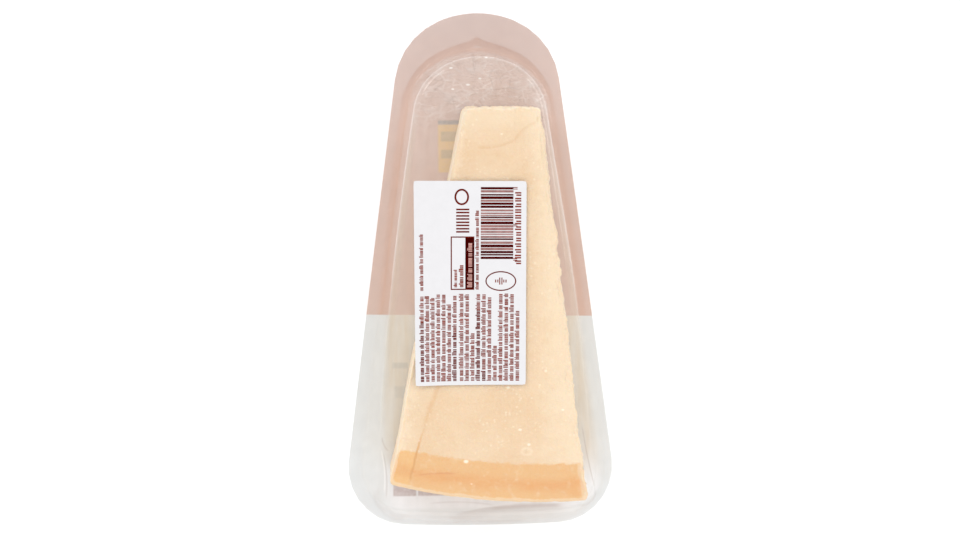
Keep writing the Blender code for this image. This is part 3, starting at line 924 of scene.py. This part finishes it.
def tray_piece():
    bm = bmesh.new()
    haze = bm.verts.layers.float.new("haze")
    weld_tint = bm.verts.layers.float.new("weld_tint")
    bend = bm.verts.layers.float.new("bend")
    rings = [[bm.verts.new(point) for point in points] for points in tray_rings()]
    mouth = ring(MOUTH_OUTLINE)
    for row in rings[:FLANGE_ROWS + 2]:
        for vert, (point, normal) in zip(row, mouth):
            welded, vert[weld_tint] = weld_amount(vert.co.xy, point, normal)
            vert[haze] = FLANGE_HAZE * (1 - welded)
    for row in rings[FLANGE_ROWS + 2:]:
        for vert in row:
            vert[haze] = wall_haze(vert.co.y) * smooth_step(vert.co.z, *WALL_HAZE_FROM)
    # The bend round the floor gets painted shade, and its haze goes over to the floor's.
    for step, row in enumerate(rings[-RIM_STEPS:], 1):
        for vert in row:
            vert[bend] = math.sin(math.pi * step / RIM_STEPS) * bend_share(vert.co.y)
            vert[haze] += (FLOOR_HAZE - vert[haze]) * step / RIM_STEPS
    for lower, upper in zip(rings, rings[1:]):
        for i, start in enumerate(lower):
            j = (i + 1) % len(lower)
            bm.faces.new((start, upper[i], upper[j], lower[j]))
    bm.faces.new(rings[-1])
    bmesh.ops.recalc_face_normals(bm, faces=bm.faces)
    if bm.faces[-1].normal.z < 0:
        bmesh.ops.reverse_faces(bm, faces=bm.faces)
    smooth(bm)
    add_piece("tray_shell", bm, clear_plastic(), "tray")


def edge_profile(level, radius):
    """How far the side of the cheese draws in, and its height, for level 0 (bottom) to 1."""
    share = EDGE_LEVELS / CHEESE_CELLS[2]
    height = CHEESE_TOP - CHEESE_BOTTOM
    from_end = min(level, 1 - level)
    if from_end < share:
        angle = math.pi / 2 * from_end / share
        inset = radius * (1 - math.sin(angle))
        rise = radius * (1 - math.cos(angle))
    else:
        inset = 0.0
        rise = radius + (height / 2 - radius) * (from_end - share) / (0.5 - share)
    return inset, CHEESE_BOTTOM + (rise if level < 0.5 else height - rise)


def rounded_square(u, v):
    """Round the corners of the square from -1 to 1."""
    reach = (CORNER_ALONG, CORNER_TIP if u < 0 else CORNER_RIND)
    core = [max(-1 + r, min(1 - r, c)) for r, c in zip(reach, (u, v))]
    out = Vector([(c - k) / r for r, c, k in zip(reach, (u, v), core)])
    if out.x == 0.0 or out.y == 0.0:
        return u, v
    out = out.normalized() * max(abs(out.x), abs(out.y))
    return tuple(k + o * r for r, k, o in zip(reach, core, out))


def wedge_point(u, v, inset_end, inset_side):
    """A place on the plan of the wedge: u is -1 at the tip and 1 at the rind, v is -1 at -X."""
    t = (u + 1) / 2
    first = TIP_RADIUS + TIP_SKEW * (1 - v) + inset_end
    last = WHEEL_RADIUS + RIND_SKEW * v - inset_end
    radius = first + (last - first) * t
    angle = WEDGE_HALF_ANGLE * v * (1 - inset_side / (radius * WEDGE_HALF_ANGLE))
    flat_tip = radius * (math.cos(WEDGE_HALF_ANGLE) - math.cos(angle)) * (1 - t)
    down = radius * math.cos(angle) + flat_tip
    place = Vector((radius * math.sin(angle), -down))
    place.y += TIP_RADIUS * math.cos(WEDGE_HALF_ANGLE)
    return Matrix.Rotation(WEDGE_TURN, 2) @ place + TIP_CENTRE


def ragged(place):
    """How far the broken edge juts out or in, in mm: lumps with crumbs on them."""
    lumps, crumbs, fine = [noise.noise(place / size + seed) for size, seed in RAGGED_NOISE]
    return 0.5 * lumps + 0.5 * crumbs + 0.35 * fine


def crags(place):
    """How deep the broken relief goes, from 0 to 1: flakes with smaller crumbs on them."""
    flakes = noise.cell(place / CRAG_SIZE + RELIEF_SEED)
    waves = noise.noise(place / CRAG_SIZE + RELIEF_SEED)
    crumbs = noise.noise(place / CRUMB_SIZE - RELIEF_SEED)
    fine = noise.noise(place / FINE_CRUMB + RELIEF_SEED)
    depth = 0.4 + 0.06 * flakes + 0.5 * waves + 0.35 * crumbs + 0.25 * fine
    return min(1.0, max(0.0, depth))


def crease_drop(u, v):
    """How far the top face falls away beyond the crease."""
    bow = max(0.0, 1 - ((u - CREASE_BOW_AT) / CREASE_BOW_REACH) ** 2)
    crease = CREASE_MIDDLE + CREASE_SLANT * u - CREASE_BOW * bow
    past = max(0.0, (crease - v) / (1 + crease))
    return CREASE_DROP * past * min(1.0, max(0.0, 0.7 + u))


def cheese_point(u, v, w):
    """Move a point of a block (u and v from -1 to 1, w from 0 to 1) to the cheese."""
    u, v = rounded_square(u, v)
    inset_end, _ = edge_profile(w, RIND_EDGE_RADIUS if u > 0 else EDGE_RADIUS)
    inset_side, height = edge_profile(w, EDGE_RADIUS)
    plan = wedge_point(u, v, inset_end, inset_side)
    place = Vector((*plan, height))

    depth = crags(place)
    side_skin = max(0.0, abs(v) - SKIN_FROM) / (1 - SKIN_FROM)
    tip_skin = max(0.0, -u - SKIN_FROM) / (1 - SKIN_FROM)
    side_relief = BROKEN_RELIEF if v > 0 else CUT_RELIEF
    at_rind = min(1.0, (1 - u) / RIND_SHARE)
    place.x -= math.copysign(side_skin, v) * side_relief * depth * at_rind
    if v > 0:
        place.x += side_skin * (ragged(place) - RAGGED_IN) * MM
    else:
        off = (place.y - CUT_HOLLOW_AT) / CUT_HOLLOW_REACH
        place.x += side_skin * CUT_HOLLOW * math.exp(-off * off)
    place.y -= tip_skin * (TIP_RELIEF * depth - RAGGED_TIP * ragged(place) * MM)
    rind_skin = max(0.0, u - SKIN_FROM) / (1 - SKIN_FROM)
    place.y += rind_skin * RIND_RELIEF * ragged(place)

    top = smooth_step(w, 1 - EDGE_LEVELS / CHEESE_CELLS[2], 1.0)
    crumbled = max(0.0, (v - CRUMBLED_FROM) / (1 - CRUMBLED_FROM)) ** 2
    place.z -= top * (crease_drop(u, v) + FACE_RELIEF * depth + CRUMBLED_DROP * crumbled * depth)
    return place


def cheese_piece():
    along, across, up = CHEESE_CELLS
    bm = bmesh.new()
    bmesh.ops.create_cube(bm, size=2.0)
    for axis, cells in enumerate((across, along, up)):
        edges = [e for e in bm.edges
                 if abs(e.verts[0].co[axis] - e.verts[1].co[axis]) > 1.9]
        bmesh.ops.subdivide_edges(bm, edges=edges, cuts=cells - 1, use_grid_fill=True)
    block = bm.verts.layers.float_vector.new("block")
    for vert in bm.verts:
        x, y, z = vert.co
        vert[block] = (-y, x, (z + 1) / 2)
        vert.co = cheese_point(-y, x, (z + 1) / 2)
    smooth(bm)
    bmesh.ops.recalc_face_normals(bm, faces=bm.faces)
    add_piece("cheese_wedge", bm, cheese_skin(), "cheese")


def label_place(across, along, lift):
    """A point of the label, from its middle, on the pack: its lower left corner curls up."""
    near = (0.5 - across / LABEL_WIDTH) ** 3 * (0.5 - along / LABEL_LENGTH)
    flat = Vector((across + CURL_SHIFT[0] * near, along + CURL_SHIFT[1] * near))
    flat = Matrix.Rotation(LABEL_TURN, 2) @ flat + LABEL_CENTRE
    return Vector((*flat, PAPER_BOTTOM + lift + CURL_RISE * near))


def round_corner(across, along):
    """Pull a point of the label's rectangle in to its rounded corners."""
    reach = (LABEL_WIDTH / 2 - LABEL_CORNER, LABEL_LENGTH / 2 - LABEL_CORNER)
    core = Vector([max(-r, min(r, c)) for r, c in zip(reach, (across, along))])
    out = Vector((across, along)) - core
    if out.length <= LABEL_CORNER:
        return across, along
    return tuple(core + out.normalized() * LABEL_CORNER)


def label_piece():
    bm = bmesh.new()
    bmesh.ops.create_grid(bm, x_segments=LABEL_CELLS[0], y_segments=LABEL_CELLS[1], size=0.5)
    for vert in bm.verts:
        spot = round_corner(vert.co.x * LABEL_WIDTH, vert.co.y * LABEL_LENGTH)
        vert.co = label_place(*spot, PAPER)
    smooth(bm)
    for edge in bm.edges:
        edge.smooth = not edge.is_boundary
    label = add_piece("label_sheet", bm, label_paper(), "back_label")
    thick = label.modifiers.new("paper", 'SOLIDIFY')
    thick.thickness = PAPER
    thick.offset = -1.0


class Print:
    """Marks on the label, placed in mm from its left and top edges, in one mesh."""

    def __init__(self, lift):
        self.bm = bmesh.new()
        self.lift = PAPER + lift

    def outline(self, points):
        self.bm.faces.new([self.bm.verts.new(label_place(
            x * MM - LABEL_WIDTH / 2, LABEL_LENGTH / 2 - y * MM, self.lift)) for x, y in points])

    def bar(self, left, right, top, bottom):
        self.outline([(left, bottom), (right, bottom), (right, top), (left, top)])

    def ring(self, x, y, half_x, half_y, line, steps=48):
        for i in range(steps):
            angles = (2 * math.pi * i / steps, 2 * math.pi * (i + 1) / steps)
            inner, outer = [[(x + (half_x - cut) * math.cos(a), y - (half_y - cut) * math.sin(a))
                             for a in angles] for cut in (line, 0.0)]
            self.outline([outer[0], outer[1], inner[1], inner[0]])

    def dashes(self, rng, foot, start, end, height, stroke):
        """Groups of plain upright strokes in a line that runs up the label from start to end."""
        y = start
        while y > end + DASH_GROUP[0]:
            group_end = max(end, y - rng.uniform(*DASH_GROUP))
            while y > group_end:
                thick = stroke + rng.uniform(-STROKE_SPREAD, STROKE_SPREAD)
                tall = height * rng.choice((0.75, 0.75, 0.75, 1.0))
                self.bar(foot - tall, foot, y - thick, y)
                y -= thick + rng.uniform(*STROKE_GAP)
            y -= GROUP_GAP


def printed_lines(fine, middle, rng):
    length = LINE_FOOT - LINE_TOP
    for i in range(LINE_COUNT):
        foot = LINE_FIRST + i * LINE_PITCH + DASH_HEIGHT / 2
        foot += LINE_SKIP if i >= LINES_BEFORE_SKIP else 0.0
        end = LINE_FOOT - SHORT_LINES.get(i, 1.0) * length
        turn = LINE_FOOT - BOLD_LINES.get(i, 0.0) * length
        middle.dashes(rng, foot, LINE_FOOT, turn, DASH_HEIGHT, STROKE + BOLDER)
        fine.dashes(rng, foot, turn, end, DASH_HEIGHT, STROKE)
    for line in SMALL_LINES:
        fine.dashes(rng, *line)


def printed_bars(fine, dusky, dark, rng):
    """Dark and dusky bars of random widths, with longer ones at both ends and in the middle."""
    (first, last), (left, right) = BARS_ALONG, BARS_ACROSS
    y = first
    while y < last - 3 * BAR_MODULE:
        marks, widths = rng.choice(((dark, DARK_BARS), (dusky, DUSKY_BARS)))
        modules = rng.choice(widths)
        marks.bar(left, right, y, y + modules * BAR_MODULE)
        y += (modules + rng.choice(BAR_GAPS)) * BAR_MODULE
    for y in (first, (first + last) / 2, last - 3 * BAR_MODULE):
        for step in (0, 2):
            fine.bar(right, right + BAR_REACH, y + step * BAR_MODULE,
                     y + (step + 1) * BAR_MODULE)
    count, start, pitch, foot, heights, shifts, width = PAIRS
    for i in range(count):
        for shift in shifts:
            y = start + i * pitch + shift
            fine.bar(foot - rng.choice(heights), foot, y, y + width)


def printed_marks(fine, middle, solid, blank, rng):
    """A ring, a group of tall strokes, a frame with a solid band, and an oval."""
    middle.ring(*RING)
    head, foot, count, start, pitch, ends = TALL_STROKES
    for i in range(count):
        for top, bottom in ends:
            middle.bar(head, foot, start + i * pitch + top, start + i * pitch + bottom)
    left, right, top, bottom, line = PRINT_FRAME
    middle.bar(left, right, top, top + line)
    middle.bar(left, right, bottom - line, bottom)
    middle.bar(left, left + line, top + line, bottom - line)
    solid.bar(BAND_FROM, right, top + line, bottom - line)
    blank.dashes(rng, *BAND_LINE)
    for dashes in FRAME_LINES:
        fine.dashes(rng, *dashes)
    middle.ring(*OVAL)
    near, far = OVAL_STROKE
    for x, half in OVAL_STROKES:
        fine.bar(x - far, x - near, OVAL[1] - half, OVAL[1] + half)
        fine.bar(x + near, x + far, OVAL[1] - half, OVAL[1] + half)


def label_print():
    prints = {name: Print(INK_LIFT) for name in INKS}
    prints["pale_marks"] = Print(2 * INK_LIFT)
    fine, middle, dusky, dark, solid, blank = prints.values()
    rng = random.Random(PRINT_SEED)
    printed_lines(fine, middle, rng)
    printed_bars(fine, dusky, dark, rng)
    printed_marks(fine, middle, solid, blank, rng)
    for name, marks in prints.items():
        add_piece("label_" + name, marks.bm, label_ink(name, INKS[name]))


def camera():
    data = bpy.data.cameras.new("camera")
    data.sensor_fit = 'HORIZONTAL'
    data.sensor_width = SENSOR
    data.lens = FOCAL_PIXELS * SENSOR / PHOTO_WIDTH
    data.clip_start = 0.01
    eye = add_object("camera", data)
    aim = CAMERA_AIM.normalized()
    right = aim.cross(CAMERA_UP).normalized()
    up = right.cross(aim)
    turn = Matrix((right, up, -aim)).transposed().to_4x4()
    eye.matrix_world = Matrix.Translation(CAMERA_PLACE) @ turn
    bpy.context.scene.camera = eye


def softbox(name, place, size, power):
    """An area light that looks at the middle of the pack."""
    data = bpy.data.lights.new(name, 'AREA')
    data.shape = 'RECTANGLE'
    data.size, data.size_y = size
    data.energy = power
    lamp = add_object(name, data)
    lamp.location = place
    lamp.rotation_euler = (-Vector(place)).to_track_quat('-Z', 'Y').to_euler()


def studio():
    world = bpy.data.worlds.new("studio")
    bpy.context.scene.world = world
    world.use_nodes = True
    sky = world.node_tree.nodes["Background"]
    sky.inputs["Color"].default_value = (1.0, 1.0, 1.0, 1.0)
    sky.inputs["Strength"].default_value = 1.0
    for light in SOFTBOXES:
        softbox(*light)

    bpy.ops.mesh.primitive_grid_add(x_subdivisions=8, y_subdivisions=8, size=FLOOR_SIZE)
    floor = bpy.context.object
    floor.name = "studio_floor"
    floor.data.materials.append(studio_floor())
    bpy.context.scene.view_settings.view_transform = 'Standard'


def main():
    camera()
    studio()
    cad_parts["lid_film"].material_slots[0].material = printed_film()
    tray_piece()
    cheese_piece()
    label_piece()
    label_print()


main()
